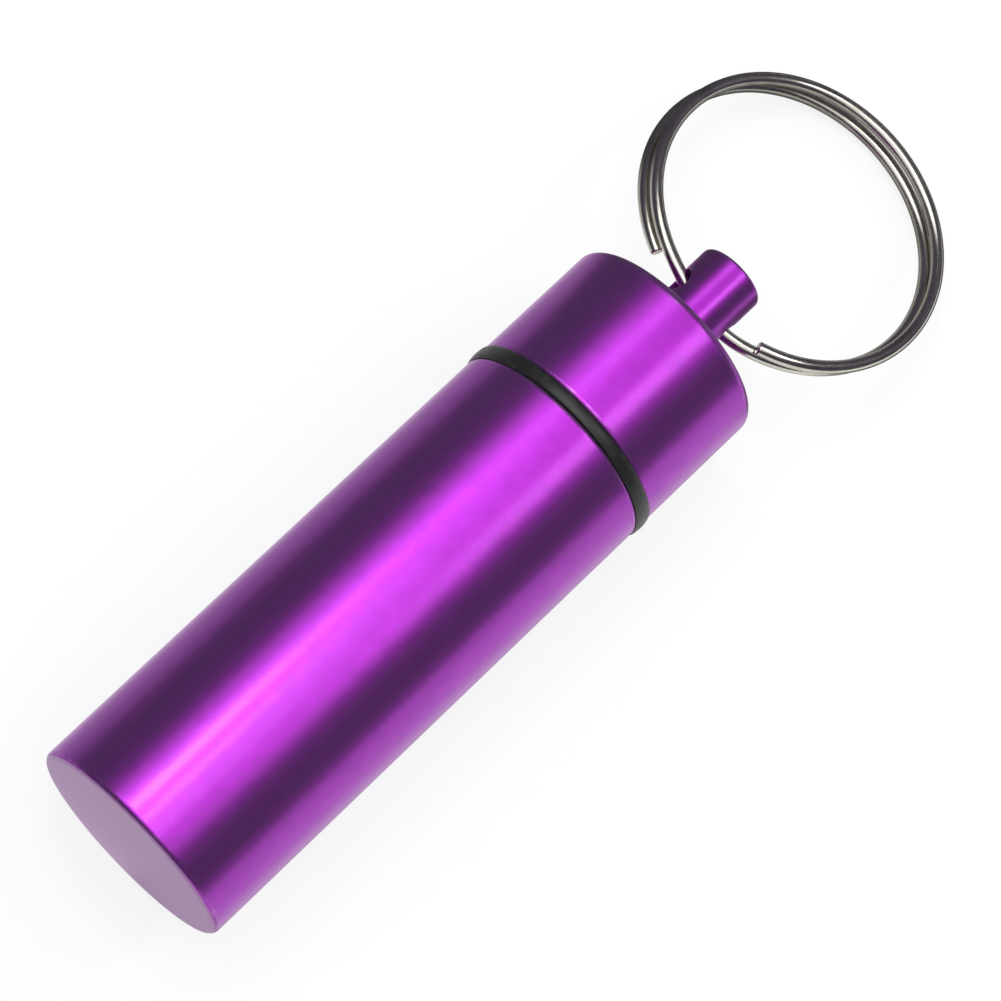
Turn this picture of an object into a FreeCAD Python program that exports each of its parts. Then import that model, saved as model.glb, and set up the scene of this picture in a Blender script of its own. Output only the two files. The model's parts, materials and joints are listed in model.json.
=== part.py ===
"""Screw-top pill fob on a split ring, lying on its side.

Millimetres. The turned axis lies along +X, with the base face at x = 0 and the cap towards +X.
+Z is up, and the body rests on a surface one body radius below the axis.
"""
import FreeCAD
import Part
import math
import os

Vector = FreeCAD.Vector
X_AXIS = Vector(1, 0, 0)
Y_AXIS = Vector(0, 1, 0)

# Turned outside
BODY_DIAMETER = 14.0
CONTAINER_LENGTH = 35.0        # base face to the shoulder under the seal
BASE_EDGE_RADIUS = 0.4
SHOULDER_EDGE_RADIUS = 0.4     # container's edge at the seal
RIM_EDGE_RADIUS = 0.3          # cap's edge at the seal
CAP_HEIGHT = 9.2               # rim to the flat top
CAP_SHOULDER_RADIUS = 0.6

# Eyelet post on the cap
POST_DIAMETER = 4.5
POST_HEIGHT = 5.8
POST_EDGE_RADIUS = 0.25
POST_FOOT_RADIUS = 0.2
HOLE_HEIGHT = 2.8              # flat top to the middle of the cross hole
HOLE_TURN_DEG = 14.0           # hole's +Y mouth above level, with the cap closed
HOLE_CLEARANCE = 0.12          # between the wire's path and the hole's wall
HOLE_EDGE_RADIUS = 0.12

# Walls
CAP_WALL = 0.88                # skirt, outside the thread groove
CAP_TOP_WALL = 2.2
NECK_WALL = 0.65               # bore to thread root
FLOOR_THICKNESS = 1.6
FLOOR_CORNER_RADIUS = 0.5
NECK_HEADROOM = 1.2            # neck's end to the cap's ceiling

# Thread, right-handed with 30 degree flanks
THREAD_PITCH = 1.0
THREAD_DEPTH = 0.55
THREAD_CREST = 0.125
THREAD_FLANK_DEG = 30.0
CREST_CLEARANCE = 0.12
ROOT_CLEARANCE = 0.15
FLANK_CLEARANCE = 0.1
THREAD_RELIEF = 0.5            # plain neck between the seal's seat and the first thread
THREAD_LEAD = 0.4              # lead chamfers of the neck and the cap
THREAD_BITE = 0.05             # how far a cut or ridge runs past the wall that it meets

# Squeezed seal
SEAL_HEIGHT = 0.7              # along the axis, shoulder to rim
SEAL_WIDTH = 1.25              # across the squeezed section
SEAL_PROUD = 0.12              # bulge past the body
SEAL_CLEARANCE = 0.02

# Split ring: one round wire, two turns side by side with a crossing at the post
RING_OUTSIDE_DIAMETER = 20.4
WIRE_DIAMETER = 0.85
TURN_GAP = 0.26
CROSSING_HALF_DEG = 22.0       # the wire climbs from turn to turn within this of the hole
WIRE_END_DEG = 3.0             # from the end of the climb to the cut end beside it
WIRE_END_RADIUS = 0.12
RING_PULL = 0.15               # wire's middle past the hole's, as the ring lies pulled outwards
RING_FLOOR_GAP = 0.1           # ring's far side above the surface that the body lies on

body_radius = BODY_DIAMETER / 2
post_radius = POST_DIAMETER / 2
wire_radius = WIRE_DIAMETER / 2

# Stations along the axis
shoulder_x = CONTAINER_LENGTH
rim_x = shoulder_x + SEAL_HEIGHT
cap_top_x = rim_x + CAP_HEIGHT
post_top_x = cap_top_x + POST_HEIGHT
hole_x = cap_top_x + HOLE_HEIGHT
ceiling_x = cap_top_x - CAP_TOP_WALL
neck_end_x = ceiling_x - NECK_HEADROOM

# Radii of the neck, its thread and the cap's thread
flank_slope = math.tan(math.radians(THREAD_FLANK_DEG))
groove_radius = body_radius - CAP_WALL
crest_radius = groove_radius - CREST_CLEARANCE
root_radius = crest_radius - THREAD_DEPTH
cavity_radius = root_radius + ROOT_CLEARANCE
bore_radius = root_radius - NECK_WALL
seal_outer_radius = body_radius + SEAL_PROUD
seat_radius = seal_outer_radius - SEAL_WIDTH - SEAL_CLEARANCE
seat_end_x = rim_x - SEAL_CLEARANCE
thread_start_x = seat_end_x + THREAD_RELIEF

# Ring circle, and its lean when its far side lies on the same surface as the body
turn_radius = RING_OUTSIDE_DIAMETER / 2 - wire_radius
turn_pitch = WIRE_DIAMETER + TURN_GAP
ring_reach = math.hypot(RING_PULL + 2 * turn_radius, turn_pitch / 2)
ring_drop = body_radius - RING_FLOOR_GAP - wire_radius
ring_lean = math.asin(ring_drop / ring_reach) - math.atan2(turn_pitch / 2, RING_PULL + 2 * turn_radius)
ring_swing_deg = math.degrees(ring_lean)

# Both cut ends run straight for one wire diameter, past the last of the turn
turn_end_deg = CROSSING_HALF_DEG + WIRE_END_DEG + math.degrees(WIRE_DIAMETER / turn_radius)

MATCH = 1e-4                   # how near an edge lies to the place that it is found by


def turned(outline):
    """Solid of revolution about X from (x, radius) corners."""
    points = [Vector(x, radius, 0) for x, radius in outline]
    face = Part.Face(Part.makePolygon(points + points[:1]))
    return face.revolve(Vector(0, 0, 0), X_AXIS, 360)


def rounded(solid, corners):
    """Round the turned edges given as (x, edge radius, fillet radius)."""
    for x, radius, fillet in corners:
        edges = []
        for edge in solid.Edges:
            curve = edge.Curve
            if isinstance(curve, Part.Circle) and abs(curve.Radius - radius) < MATCH:
                if (curve.Center - X_AXIS * x).Length < MATCH:
                    edges.append(edge)
        solid = solid.makeFillet(fillet, edges)
    return solid


def thread_ridge(inner_radius, outer_radius, crest_half_width, start_x, end_x):
    """Helical ridge of trapezoid section; crest_half_width is taken at the neck's crest radius."""
    inner_half = crest_half_width + (crest_radius - inner_radius) * flank_slope
    outer_half = crest_half_width + (crest_radius - outer_radius) * flank_slope
    corners = [
        Vector(inner_radius, 0, -inner_half),
        Vector(outer_radius, 0, -outer_half),
        Vector(outer_radius, 0, outer_half),
        Vector(inner_radius, 0, inner_half),
    ]
    section = Part.makePolygon(corners + corners[:1])
    helix = Part.makeHelix(THREAD_PITCH, end_x - start_x, crest_radius)
    ridge = Part.Wire(helix.Edges).makePipeShell([section], True, True)
    ridge.rotate(Vector(0, 0, 0), Y_AXIS, 90)
    ridge.rotate(Vector(0, 0, 0), X_AXIS, 360 * (start_x - shoulder_x) / THREAD_PITCH)
    ridge.translate(Vector(start_x, 0, 0))
    return ridge


def make_container():
    """Tube with a solid base and a threaded neck, bored from the neck's end."""
    body = rounded(
        turned([(0, 0), (0, body_radius), (shoulder_x, body_radius), (shoulder_x, 0)]),
        [(0, body_radius, BASE_EDGE_RADIUS), (shoulder_x, body_radius, SHOULDER_EDGE_RADIUS)],
    )
    neck = turned([
        (shoulder_x - THREAD_BITE, 0),
        (shoulder_x - THREAD_BITE, seat_radius),
        (seat_end_x, seat_radius),
        (seat_end_x, root_radius),
        (neck_end_x - THREAD_LEAD, root_radius),
        (neck_end_x, root_radius - THREAD_LEAD),
        (neck_end_x, 0),
    ])
    ridge_foot = THREAD_CREST / 2 + THREAD_DEPTH * flank_slope
    ridge = thread_ridge(
        root_radius - THREAD_BITE,
        crest_radius,
        THREAD_CREST / 2,
        thread_start_x + ridge_foot,
        neck_end_x - THREAD_LEAD - ridge_foot,
    )
    bore = rounded(
        turned([
            (FLOOR_THICKNESS, 0),
            (FLOOR_THICKNESS, bore_radius),
            (neck_end_x + THREAD_BITE, bore_radius),
            (neck_end_x + THREAD_BITE, 0),
        ]),
        [(FLOOR_THICKNESS, bore_radius, FLOOR_CORNER_RADIUS)],
    )
    return body.fuse(neck.fuse(ridge)).cut(bore)


def make_o_ring():
    """Rubber ring flattened between the shoulder and the cap's rim, with round inner and outer sides."""
    half_height = SEAL_HEIGHT / 2 - SEAL_CLEARANCE
    middle_x = shoulder_x + SEAL_HEIGHT / 2
    low_x = middle_x - half_height
    high_x = middle_x + half_height
    inner_radius = seal_outer_radius - SEAL_WIDTH
    inner_flat = inner_radius + half_height
    outer_flat = seal_outer_radius - half_height
    edges = [
        Part.LineSegment(Vector(low_x, inner_flat, 0), Vector(low_x, outer_flat, 0)),
        Part.Arc(
            Vector(low_x, outer_flat, 0),
            Vector(middle_x, seal_outer_radius, 0),
            Vector(high_x, outer_flat, 0),
        ),
        Part.LineSegment(Vector(high_x, outer_flat, 0), Vector(high_x, inner_flat, 0)),
        Part.Arc(
            Vector(high_x, inner_flat, 0),
            Vector(middle_x, inner_radius, 0),
            Vector(low_x, inner_flat, 0),
        ),
    ]
    section = Part.Face(Part.Wire([edge.toShape() for edge in edges]))
    return section.revolve(Vector(0, 0, 0), X_AXIS, 360)


def make_cap(hole_radius):
    """Screw cap with its eyelet post, threaded inside and cross drilled."""
    cap = rounded(
        turned([
            (rim_x, 0),
            (rim_x, body_radius),
            (cap_top_x, body_radius),
            (cap_top_x, post_radius),
            (post_top_x, post_radius),
            (post_top_x, 0),
        ]),
        [
            (rim_x, body_radius, RIM_EDGE_RADIUS),
            (cap_top_x, body_radius, CAP_SHOULDER_RADIUS),
            (cap_top_x, post_radius, POST_FOOT_RADIUS),
            (post_top_x, post_radius, POST_EDGE_RADIUS),
        ],
    )
    cavity = turned([
        (rim_x - THREAD_BITE, 0),
        (rim_x - THREAD_BITE, groove_radius),
        (rim_x, groove_radius),
        (rim_x + THREAD_LEAD, cavity_radius),
        (neck_end_x, cavity_radius),
        (neck_end_x, groove_radius + THREAD_BITE),
        (ceiling_x, groove_radius + THREAD_BITE),
        (ceiling_x, 0),
    ])
    groove = thread_ridge(
        cavity_radius - THREAD_BITE,
        groove_radius,
        THREAD_CREST / 2 + FLANK_CLEARANCE / math.cos(math.radians(THREAD_FLANK_DEG)),
        rim_x - THREAD_PITCH,
        neck_end_x + NECK_HEADROOM / 2,
    )
    hole = Part.makeCylinder(
        hole_radius, 2 * POST_DIAMETER, Vector(hole_x, -POST_DIAMETER, 0), Y_AXIS
    )
    cap = cap.cut(hole)
    hole_edges = [
        edge for edge in cap.Edges
        if abs(edge.CenterOfMass.y) > hole_radius and abs(edge.CenterOfMass.x - hole_x) < hole_radius
        and abs(edge.CenterOfMass.z) < hole_radius
    ]
    cap = cap.makeFillet(HOLE_EDGE_RADIUS, hole_edges)
    cap.rotate(Vector(0, 0, 0), X_AXIS, HOLE_TURN_DEG)
    return cap.cut(cavity).cut(groove)


def ring_point(angle_deg, height):
    """Point on a turn, with the hole at the origin and the ring's middle towards +X."""
    angle = math.radians(angle_deg)
    x = RING_PULL + turn_radius * (1 - math.cos(angle))
    return Vector(x, turn_radius * math.sin(angle), height)


def ring_tangent(angle_deg):
    angle = math.radians(angle_deg)
    return Vector(math.sin(angle), math.cos(angle), 0)


def flat_turn(start_deg, end_deg, height):
    """Arcs of up to half a turn at one height."""
    count = math.ceil((end_deg - start_deg) / 180)
    step = (end_deg - start_deg) / count
    arcs = []
    for index in range(count):
        first = start_deg + index * step
        arcs.append(Part.Arc(
            ring_point(first, height), ring_point(first + step / 2, height), ring_point(first + step, height)
        ))
    return arcs


def tangent_arc(start, corner, end):
    """Arc from start to end that touches the two equal legs meeting at corner."""
    leg = (corner - start).Length
    middle = (start + end) * 0.5
    rise = (middle - corner).Length
    half_chord = (end - start).Length / 2
    to_arc = leg * (leg - half_chord) / rise
    return Part.Arc(start, corner + (middle - corner) * (to_arc / rise), end)


def crossing():
    """Biarc from the lower turn to the upper one, through the hole."""
    start = ring_point(-CROSSING_HALF_DEG, -turn_pitch / 2)
    end = ring_point(CROSSING_HALF_DEG, turn_pitch / 2)
    start_way = ring_tangent(-CROSSING_HALF_DEG)
    end_way = ring_tangent(CROSSING_HALF_DEG)
    span = end - start
    both = start_way + end_way
    a = both.dot(both) - 4
    b = -2 * span.dot(both)
    c = span.dot(span)
    leg = (-b - math.sqrt(b * b - 4 * a * c)) / (2 * a)
    if leg < 0:
        leg = (-b + math.sqrt(b * b - 4 * a * c)) / (2 * a)
    first_corner = start + start_way * leg
    second_corner = end - end_way * leg
    middle = (first_corner + second_corner) * 0.5
    return [tangent_arc(start, first_corner, middle), tangent_arc(middle, second_corner, end)]


def ring_path():
    """Wire path: lower turn from its cut end, the crossing in the hole, upper turn to its cut end."""
    lower = flat_turn(turn_end_deg, 360 - CROSSING_HALF_DEG, -turn_pitch / 2)
    upper = flat_turn(CROSSING_HALF_DEG, 360 - turn_end_deg, turn_pitch / 2)
    first = ring_point(turn_end_deg, -turn_pitch / 2)
    last = ring_point(-turn_end_deg, turn_pitch / 2)
    start = first - ring_tangent(turn_end_deg) * WIRE_DIAMETER
    end = last + ring_tangent(-turn_end_deg) * WIRE_DIAMETER
    return [Part.LineSegment(start, first)] + lower + crossing() + upper + [Part.LineSegment(last, end)]


def path_points(path, spacing):
    """Points along the path and their distance from its start."""
    points = []
    lengths = []
    travelled = 0.0
    for stretch in path:
        edge = stretch.toShape()
        count = math.ceil(edge.Length / spacing)
        points += edge.discretize(Number=count + 1)[:-1]
        lengths += [travelled + edge.Length * index / count for index in range(count)]
        travelled += edge.Length
    return points, lengths


def least_turn_gap(path):
    """Smallest clear space between stretches of wire over a quarter turn apart along it."""
    points, lengths = path_points(path, WIRE_DIAMETER / 2)
    apart = turn_radius * math.pi / 2
    nearest = min(
        (points[i] - points[j]).Length
        for i in range(len(points)) for j in range(i)
        if lengths[i] - lengths[j] > apart
    )
    return nearest - WIRE_DIAMETER


def hole_radius_for(path):
    """Radius that clears the wire inside the post at any swing of the ring about the hole's axis."""
    turn = math.radians(HOLE_TURN_DEG)
    way = Vector(0, math.cos(turn), math.sin(turn))
    way_on_ring = Vector(-way.z * math.sin(ring_lean), way.y, way.z * math.cos(ring_lean))
    points, _ = path_points(path, WIRE_DIAMETER / 4)
    reach = 0
    for point in points:
        along = point.dot(way_on_ring)
        if abs(along) < post_radius and point.x < post_radius:
            reach = max(reach, (point - way_on_ring * along).Length)
    return reach + wire_radius + HOLE_CLEARANCE


def make_split_ring(path):
    """Double turn of round wire, leaning down from the hole to the surface."""
    spine = Part.Wire([stretch.toShape() for stretch in path])
    cut_ends = [path[0].StartPoint, path[-1].EndPoint]
    section = Part.Wire(Part.makeCircle(wire_radius, cut_ends[0], ring_tangent(turn_end_deg)))
    ring = spine.makePipeShell([section], True, False)
    rims = [
        edge for edge in ring.Edges
        if min((edge.CenterOfMass - cut_end).Length for cut_end in cut_ends) < MATCH
    ]
    ring = ring.makeFillet(WIRE_END_RADIUS, rims)
    tube_volume = math.pi * wire_radius ** 2 * spine.Length
    print("split ring: volume over section times length", round(ring.Volume / tube_volume, 5))
    ring.rotate(Vector(0, 0, 0), Y_AXIS, ring_swing_deg)
    ring.translate(Vector(hole_x, 0, 0))
    return ring


def main():
    os.makedirs("parts", exist_ok=True)
    path = ring_path()
    print("split ring: least gap between turns", round(least_turn_gap(path), 3))
    hole_radius = hole_radius_for(path)
    print("cross hole: radius", round(hole_radius, 4), "ring swing", round(ring_swing_deg, 3))
    pieces = {
        "container": make_container(),
        "o_ring": make_o_ring(),
        "cap": make_cap(hole_radius),
        "split_ring": make_split_ring(path),
    }
    for name, shape in pieces.items():
        print(name, "valid", shape.isValid(), "solids", len(shape.Solids), "volume", round(shape.Volume, 3))
        shape.exportStep("parts/" + name + ".step")


main()
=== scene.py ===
"""Looks of a screw-top pill fob: anodised container and cap, rubber seal and split ring.

Metres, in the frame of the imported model: the turned axis lies along +X, +Z is up.
"""

import json
import math

import bmesh
import bpy
import numpy as np
from bpy.props import FloatProperty, FloatVectorProperty, PointerProperty
from mathutils import Matrix, Vector


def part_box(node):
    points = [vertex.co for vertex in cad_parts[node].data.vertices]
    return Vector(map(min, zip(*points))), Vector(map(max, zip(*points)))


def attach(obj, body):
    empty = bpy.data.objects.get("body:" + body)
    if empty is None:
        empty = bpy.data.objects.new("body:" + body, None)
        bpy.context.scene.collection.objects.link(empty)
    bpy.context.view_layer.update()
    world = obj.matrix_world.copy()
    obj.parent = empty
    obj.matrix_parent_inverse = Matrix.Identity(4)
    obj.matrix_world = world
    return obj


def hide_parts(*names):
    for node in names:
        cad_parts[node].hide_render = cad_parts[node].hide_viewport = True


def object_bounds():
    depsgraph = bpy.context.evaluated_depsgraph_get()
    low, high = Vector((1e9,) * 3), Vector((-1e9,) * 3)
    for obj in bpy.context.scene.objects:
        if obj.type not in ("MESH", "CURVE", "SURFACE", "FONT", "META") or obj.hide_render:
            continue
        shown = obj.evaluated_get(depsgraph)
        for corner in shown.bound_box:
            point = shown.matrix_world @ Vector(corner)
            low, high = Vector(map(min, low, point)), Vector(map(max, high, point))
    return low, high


bl_info = {
    "name": "Pill fob",
    "version": (1, 0, 0),
    "blender": (4, 5, 0),
    "location": "View3D > Sidebar > Pill Fob",
    "description": "Dresses the packed pill fob with turned, anodised, rubber and wire surfaces",
    "category": "Object",
}

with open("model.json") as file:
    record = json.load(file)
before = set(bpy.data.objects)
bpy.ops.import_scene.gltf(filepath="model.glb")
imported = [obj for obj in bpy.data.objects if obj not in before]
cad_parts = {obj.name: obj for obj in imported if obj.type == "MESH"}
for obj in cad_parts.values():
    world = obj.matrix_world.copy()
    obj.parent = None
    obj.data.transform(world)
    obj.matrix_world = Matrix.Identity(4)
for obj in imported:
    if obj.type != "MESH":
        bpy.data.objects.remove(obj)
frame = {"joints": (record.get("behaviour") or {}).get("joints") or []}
cad_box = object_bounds()
container_low, container_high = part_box("container")
seal_low, seal_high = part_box("o_ring")
cap_low, cap_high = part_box("cap")
ring_swing = next(joint for joint in frame["joints"] if joint["name"] == "ring_swing")
hole_place = Vector(ring_swing["pos_m"])
hole_turn = math.atan2(ring_swing["axis"][2], ring_swing["axis"][1])

TURNED_UV = "turned"
WEAR = "wear"
GLOW = "glow"
MILLIMETRE = 0.001

ROUND_STEPS = 256              # facets round the turned pieces
ARC_STEPS = 8                  # facets across a rounded edge
FACE_STEPS = 12                # facets from the middle of the base to its edge
POST_STEPS = 32                # facets along the post
WALL_STEPS = 16                # facets from the border of the post's half to the hole
HOLE_STEPS = 6                 # facets through the cross hole
RING_STEPS = 1280              # facets along the ring's wire
WIRE_STEPS = 32                # facets round the ring's wire
SURROUND_STEPS = 96            # facets round the dark surround
SUPPORT = 0.04 * MILLIMETRE    # from a rounded edge to the point that keeps its neighbour flat
WELD = 0.002 * MILLIMETRE      # points nearer than this are one
SHARP_ANGLE = math.radians(40)

FLOOR_HALF = 3.0               # metres
SENSOR_WIDTH = 36.0            # millimetres, as cameras take it
NEAR_LIMIT = 0.01              # metres, nearer than this the camera sees nothing
FLOOR_WHITE = 0.8              # share of plain white in the floor's look, the rest takes the shadow
FIBRE_SHADE = 0.97             # darkest fibres of the floor, as a share of its colour
WORLD_LEVEL = 0.72             # brightness of the even light

PLAIN_WHITE = (1.0, 1.0, 1.0)
COOL_WHITE = (0.78, 1.0, 0.94)
# Leans towards +X and swings towards +Y in degrees, distance in metres,
# brightness, where 1 is white, and colour
LAMPS = {
    "overhead_softbox": ((-14, 13), (-14, 37), 0.45, 2.3, PLAIN_WHITE),
    "streak_lamp": ((4.6, 7.4), (20, 28), 0.4, 25.0, COOL_WHITE),
    "streak_tail": ((7.4, 9.8), (20, 28), 0.4, 9.0, COOL_WHITE),
    "pale_lamp": ((4.6, 7.2), (4, 12), 0.4, 11.0, COOL_WHITE),
    "pale_tail": ((7.2, 9.2), (4, 12), 0.4, 4.0, COOL_WHITE),
    "side_strip": ((14, 55), (-29, -15), 0.42, 3.6, PLAIN_WHITE),
    "cap_strip": ((17, 45), (16, 28), 0.42, 1.2, PLAIN_WHITE),
}
DIM_CARD = ((17, 50), (-13, 13), 0.6, 0.33)    # the same, without a colour


def length(name, description, default):
    """A size in metres that the sidebar shows."""
    return FloatProperty(
        name=name, description=description, default=default, min=0, precision=6, unit="LENGTH"
    )


def angle(name, description, degrees):
    """An angle that the sidebar shows in degrees."""
    return FloatProperty(name=name, description=description, default=math.radians(degrees), unit="ROTATION")


def colour(name, description, default):
    """A linear colour that the sidebar shows."""
    return FloatVectorProperty(
        name=name, description=description, default=default, size=3, min=0, max=1, subtype="COLOR"
    )


class FobTurnedSizes(bpy.types.PropertyGroup):
    """Sizes of the container, the cap and the seal between them."""

    body_radius: length("Body radius", "Outside radius of container and cap", container_high.y)
    base_edge: length("Base edge", "Rounding of the base's rim", 0.4 * MILLIMETRE)
    shoulder_edge: length("Shoulder edge", "Rounding of the container's edge at the seal", 0.4 * MILLIMETRE)
    rim_edge: length("Rim edge", "Rounding of the cap's edge at the seal", 0.3 * MILLIMETRE)
    inner_edge: length("Inner edge", "Broken edges of neck, shoulder and bore", 0.06 * MILLIMETRE)
    cap_height: length("Cap height", "Cap's rim to its flat top", 9.2 * MILLIMETRE)
    cap_shoulder: length("Cap shoulder", "Rounding of the cap's top edge", 0.6 * MILLIMETRE)
    cap_top_wall: length("Cap top wall", "Thickness over the cap's inside", 2.2 * MILLIMETRE)
    post_radius: length("Post radius", "Radius of the eyelet post", 2.25 * MILLIMETRE)
    post_edge: length("Post edge", "Rounding of the post's end", 0.25 * MILLIMETRE)
    post_foot: length("Post foot", "Fillet between the post and the cap", 0.2 * MILLIMETRE)
    hole_radius: length("Hole radius", "Radius of the cross hole", 1.0608 * MILLIMETRE)
    hole_edge: length("Hole edge", "Rounding of the cross hole's mouths", 0.12 * MILLIMETRE)
    bore_radius: length("Bore radius", "Radius of the pill chamber", 4.8 * MILLIMETRE)
    floor_thickness: length("Floor thickness", "Base face to the chamber's floor", 1.6 * MILLIMETRE)
    floor_corner: length("Floor corner", "Rounding of the chamber's floor", 0.5 * MILLIMETRE)
    seat_radius: length("Seal seat radius", "Plain neck inside the seal", 5.85 * MILLIMETRE)
    seal_width: length("Seal width", "Squeezed seal across its section", 1.25 * MILLIMETRE)
    seal_clearance: length("Seal clearance", "Between the seal and its neighbours", 0.02 * MILLIMETRE)
    lip_top: length("Lip on top", "Seal's bulge past the body on top and below", 0.1 * MILLIMETRE)
    lip_side: length("Lip at the sides", "Seal's bulge past the body at the sides", 0.15 * MILLIMETRE)
    lip_root: length("Lip root", "Depth below the body from which the lip spreads", 0.3 * MILLIMETRE)
    flare_top: length("Flare on top", "Lip's spread over the container on top and below", 0.1 * MILLIMETRE)
    flare_side: length("Flare at the sides", "Lip's spread over both edges at the sides", 0.26 * MILLIMETRE)


class FobThreadSizes(bpy.types.PropertyGroup):
    """Sizes of the screw thread on the neck and in the cap."""

    pitch: length("Pitch", "Advance of one turn", 1.0 * MILLIMETRE)
    depth: length("Depth", "Root to crest of the neck's thread", 0.55 * MILLIMETRE)
    crest: length("Crest", "Flat crest of the neck's thread", 0.125 * MILLIMETRE)
    flank: angle("Flank angle", "Slope of a flank from square to the axis", 30)
    neck_root: length("Neck root", "Root radius of the neck's thread", 5.45 * MILLIMETRE)
    cap_root: length("Cap root", "Root radius of the cap's thread", 6.12 * MILLIMETRE)
    cap_crest: length("Cap crest", "Crest radius of the cap's thread", 5.6 * MILLIMETRE)
    clearance: length("Flank clearance", "Between the two threads' flanks", 0.1 * MILLIMETRE)
    relief: length("Relief", "Plain neck before the first thread", 0.5 * MILLIMETRE)
    lead: length("Lead", "Lead chamfer of neck and cap", 0.4 * MILLIMETRE)
    bite: length("Bite", "How deep a ridge's foot sits in its wall", 0.05 * MILLIMETRE)
    runout: angle("Run-out", "Turn over which a ridge rises from its wall", 70)


class FobRingSizes(bpy.types.PropertyGroup):
    """Sizes of the split ring, one wire wound twice."""

    diameter: length("Ring diameter", "Outside diameter", 20.4 * MILLIMETRE)
    wire: length("Wire diameter", "Diameter of the round wire", 0.85 * MILLIMETRE)
    near_pitch: length("Pitch at the post", "Between the turns beside the post", 0.97 * MILLIMETRE)
    far_pitch: length("Pitch at the far side", "Between the turns opposite the post", 1.34 * MILLIMETRE)
    side_pitch: length("Skew of the pitch", "More on the +Y side, less on the other", 0.23 * MILLIMETRE)
    shift: length("Shift", "Lower turn past the upper one towards +Y", 0.3 * MILLIMETRE)
    climb: angle("Climb", "The wire climbs from turn to turn within this of the hole", 22)
    end: angle("Wire end", "Both cut ends stop this far round from the hole", 25)
    end_edge: length("End edge", "Rounding of the cut ends", 0.12 * MILLIMETRE)
    pull: length("Pull", "Wire's middle past the hole's, away from the cap", 0.09 * MILLIMETRE)
    lean: angle("Lean", "Ring's slope down from the hole to the surface", 17.2)
    askew: angle("Askew", "Ring's slack turn about the vertical", -1.2)


class FobColours(bpy.types.PropertyGroup):
    """Colours of the finishes."""

    purple: colour("Purple", "Anodised aluminium", (0.36, 0.012, 0.47))
    deep_purple: colour("Deep purple", "Darker patches of the anodising", (0.31, 0.009, 0.415))
    worn: colour("Worn edge", "Where handling has thinned the anodising", (0.62, 0.34, 0.68))
    faced: colour("Faced base", "Paler anodising of the faced base", (0.4, 0.13, 0.46))
    rubber: colour("Rubber", "Seal", (0.014, 0.0135, 0.0135))
    # pale greenish tint on the seal: partly dust, partly a painted sheen
    rubber_dust_and_sheen: colour("Rubber dust", "Bloom and dust on the seal", (0.05, 0.052, 0.047))
    steel: colour("Steel", "Plated wire", (0.62, 0.6, 0.53))
    steel_shade: colour("Dull steel", "Duller streaks of the plating", (0.4, 0.38, 0.33))
    paper: colour("Floor", "Surface under the fob", (0.93, 0.93, 0.93))
    surround: colour("Surround", "Dark room that the metal mirrors", (0.074, 0.066, 0.097))


class FobStageSizes(bpy.types.PropertyGroup):
    """Place of the camera."""

    distance: length("Distance", "Camera to the point that it aims at", 248.42 * MILLIMETRE)
    aim_along: length("Aim along", "Aim point from the base face", 30.275 * MILLIMETRE)
    aim_beside: length("Aim beside", "Aim point from the axis, towards -Y", 0.2312 * MILLIMETRE)
    azimuth: angle("Azimuth", "Round the vertical, 0 looks along +Y", -90)
    elevation: angle("Elevation", "Above the horizon", 73.06)
    roll: angle("Roll", "Turn of the picture about its middle", 46.61)
    lens: FloatProperty(
        name="Lens", description="Focal length in mm on a 36 mm sensor", default=151.05, min=1, unit="CAMERA"
    )


def along(low, high, count):
    return np.linspace(low, high, count + 1)


def rounded_outline(corners):
    """Outline through (x, radius, rounding) corners, with how worn each of its points is.

    A rounded corner becomes the arc that touches both its sides: it starts rounding x tan(turn / 2)
    before the corner and turns about a centre one rounding to the side. One more point just
    outside each end of the arc keeps the neighbouring stretch flat. Only arcs are worn.
    """
    places = np.array([corner[:2] for corner in corners], float)
    points = [places[:1]]
    wear = [np.zeros(1)]
    for index in range(1, len(corners) - 1):
        before = places[index] - places[index - 1]
        after = places[index + 1] - places[index]
        before /= np.linalg.norm(before)
        after /= np.linalg.norm(after)
        rounding = corners[index][2]
        if rounding == 0:
            points.append(places[index:index + 1])
            wear.append(np.zeros(1))
            continue
        turn = math.atan2(before[0] * after[1] - before[1] * after[0], before @ after)
        reach = rounding * math.tan(abs(turn) / 2)
        start = places[index] - before * reach
        side = np.array([-before[1], before[0]]) * math.copysign(rounding, turn)
        turned = along(0, turn, ARC_STEPS)[:, None]
        arc = start + side - np.cos(turned) * side
        arc += np.sin(turned) * np.array([side[1], -side[0]])
        end = places[index] + after * reach
        points += [(start - before * SUPPORT)[None], arc, (end + after * SUPPORT)[None]]
        wear += [np.zeros(1), np.ones(ARC_STEPS + 1), np.zeros(1)]
    points.append(places[-1:])
    wear.append(np.zeros(1))
    return np.concatenate(points), np.concatenate(wear)


def round_about_axis(x, radius, turn):
    """Point at a distance along the axis, a radius from it and a turn about it, from +Y towards +Z."""
    return np.stack(np.broadcast_arrays(x, radius * np.cos(turn), radius * np.sin(turn)), axis=-1)


def revolved(outline, wear, start=0.0):
    """Surface of revolution: each outline point (x, radius) is carried round the axis from the start turn.

    The map's first coordinate is the distance along the outline, its second the share of a turn.
    """
    turn = along(start, start + 2 * math.pi, ROUND_STEPS)
    points = round_about_axis(outline[:, :1], outline[:, 1:], turn[None])
    steps = np.linalg.norm(np.diff(outline, axis=0), axis=1)
    travelled = np.concatenate([[0], np.cumsum(steps)])[:, None]
    uv = np.stack(np.broadcast_arrays(travelled / MILLIMETRE, turn[None] / (2 * math.pi)), axis=-1)
    return {"points": points, "uv": uv, "wear": np.broadcast_to(wear[:, None], points.shape[:2])}


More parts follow.
